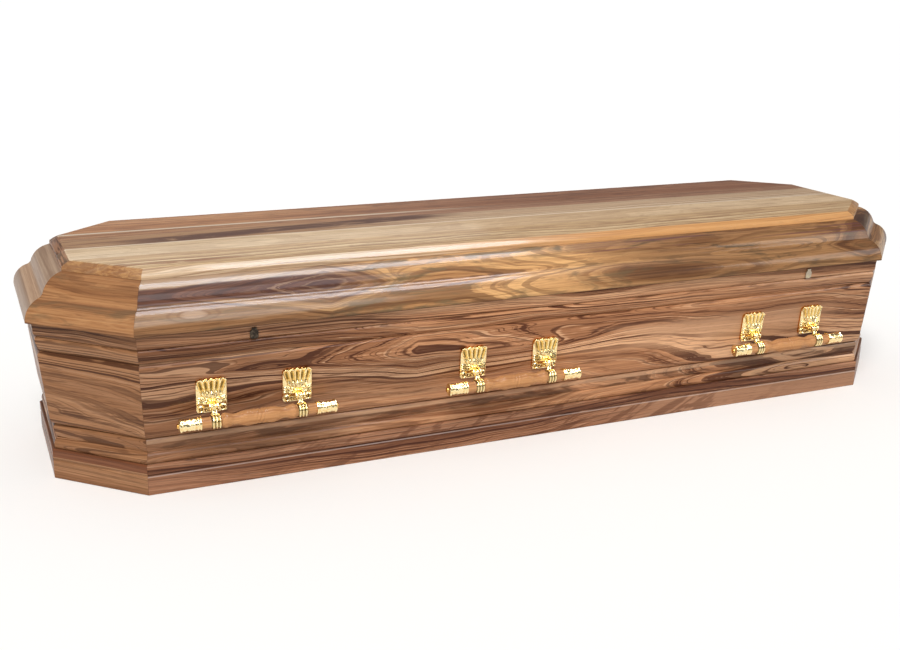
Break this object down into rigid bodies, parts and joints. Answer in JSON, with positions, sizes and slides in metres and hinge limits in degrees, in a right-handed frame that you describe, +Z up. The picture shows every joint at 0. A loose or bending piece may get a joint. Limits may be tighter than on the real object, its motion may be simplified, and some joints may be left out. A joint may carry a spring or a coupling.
{
  "type": "wooden coffin",
  "caption": "Octagonal solid timber coffin with clipped corners, a raised moulded lift-off lid and hinged bar handles on gilt plates.",
  "frame": {"origin": "centre of the plan on the ground", "axes": "+X along the length to the end at the right of the picture, -Y out of the long side that the picture shows, +Z up"},
  "size_m": [2.0582, 0.6838, 0.4223],
  "materials": {
    "wall_timber": "glossy clear lacquer over streaked brown hardwood",
    "skirt_timber": "glossy clear lacquer over reddish brown hardwood",
    "lid_timber": "glossy clear lacquer over golden brown hardwood",
    "panel_timber": "glossy clear lacquer over edge-glued mixed planks",
    "floor_timber": "plain sanded softwood board",
    "bar_timber": "satin light tan turned wood",
    "gold_metal": "polished gold plated casting",
    "smoked_bronze": "smoky bronze plate"
  },
  "bodies": {
    "case": {"floor_board": "floor_timber", "wall_front": "wall_timber", "wall_front_right": "wall_timber", "wall_right_end": "wall_timber", "wall_back_right": "wall_timber", "wall_back": "wall_timber", "wall_back_left": "wall_timber", "wall_left_end": "wall_timber", "wall_front_left": "wall_timber", "skirt_front": "skirt_timber", "skirt_front_right": "skirt_timber", "skirt_right_end": "skirt_timber", "skirt_back_right": "skirt_timber", "skirt_back": "skirt_timber", "skirt_back_left": "skirt_timber", "skirt_left_end": "skirt_timber", "skirt_front_left": "skirt_timber", "lid_moulding_front": "lid_timber", "lid_moulding_front_right": "lid_timber", "lid_moulding_right_end": "lid_timber", "lid_moulding_back_right": "lid_timber", "lid_moulding_back": "lid_timber", "lid_moulding_back_left": "lid_timber", "lid_moulding_left_end": "lid_timber", "lid_moulding_front_left": "lid_timber", "lid_panel": "panel_timber", "lid_catch_front_left": "smoked_bronze", "lid_catch_front_right": "smoked_bronze", "lid_catch_back_left": "smoked_bronze", "lid_catch_back_right": "smoked_bronze", "handle_front_left_plate_left": "gold_metal", "handle_front_left_plate_right": "gold_metal", "handle_front_middle_plate_left": "gold_metal", "handle_front_middle_plate_right": "gold_metal", "handle_front_right_plate_left": "gold_metal", "handle_front_right_plate_right": "gold_metal", "handle_back_left_plate_left": "gold_metal", "handle_back_left_plate_right": "gold_metal", "handle_back_middle_plate_left": "gold_metal", "handle_back_middle_plate_right": "gold_metal", "handle_back_right_plate_left": "gold_metal", "handle_back_right_plate_right": "gold_metal"},
    "handle_front_left": {"handle_front_left_arm_left": "gold_metal", "handle_front_left_arm_right": "gold_metal", "handle_front_left_bar": "bar_timber"},
    "handle_front_middle": {"handle_front_middle_arm_left": "gold_metal", "handle_front_middle_arm_right": "gold_metal", "handle_front_middle_bar": "bar_timber"},
    "handle_front_right": {"handle_front_right_arm_left": "gold_metal", "handle_front_right_arm_right": "gold_metal", "handle_front_right_bar": "bar_timber"},
    "handle_back_left": {"handle_back_left_arm_left": "gold_metal", "handle_back_left_arm_right": "gold_metal", "handle_back_left_bar": "bar_timber"},
    "handle_back_middle": {"handle_back_middle_arm_left": "gold_metal", "handle_back_middle_arm_right": "gold_metal", "handle_back_middle_bar": "bar_timber"},
    "handle_back_right": {"handle_back_right_arm_left": "gold_metal", "handle_back_right_arm_right": "gold_metal", "handle_back_right_bar": "bar_timber"}
  },
  "joints": [
    {"name": "handle_front_left_swing", "type": "hinge", "parent": "case", "child": "handle_front_left", "pos_m": [-0.64, -0.31373, 0.17012], "axis": [-1, 0, 0], "range_deg": [0, 75]},
    {"name": "handle_front_middle_swing", "type": "hinge", "parent": "case", "child": "handle_front_middle", "pos_m": [-0.103, -0.31373, 0.17012], "axis": [-1, 0, 0], "range_deg": [0, 75]},
    {"name": "handle_front_right_swing", "type": "hinge", "parent": "case", "child": "handle_front_right", "pos_m": [0.597, -0.31373, 0.17012], "axis": [-1, 0, 0], "range_deg": [0, 75]},
    {"name": "handle_back_left_swing", "type": "hinge", "parent": "case", "child": "handle_back_left", "pos_m": [-0.64, 0.31373, 0.17012], "axis": [1, 0, 0], "range_deg": [0, 75]},
    {"name": "handle_back_middle_swing", "type": "hinge", "parent": "case", "child": "handle_back_middle", "pos_m": [-0.103, 0.31373, 0.17012], "axis": [1, 0, 0], "range_deg": [0, 75]},
    {"name": "handle_back_right_swing", "type": "hinge", "parent": "case", "child": "handle_back_right", "pos_m": [0.597, 0.31373, 0.17012], "axis": [1, 0, 0], "range_deg": [0, 75]}
  ]
}
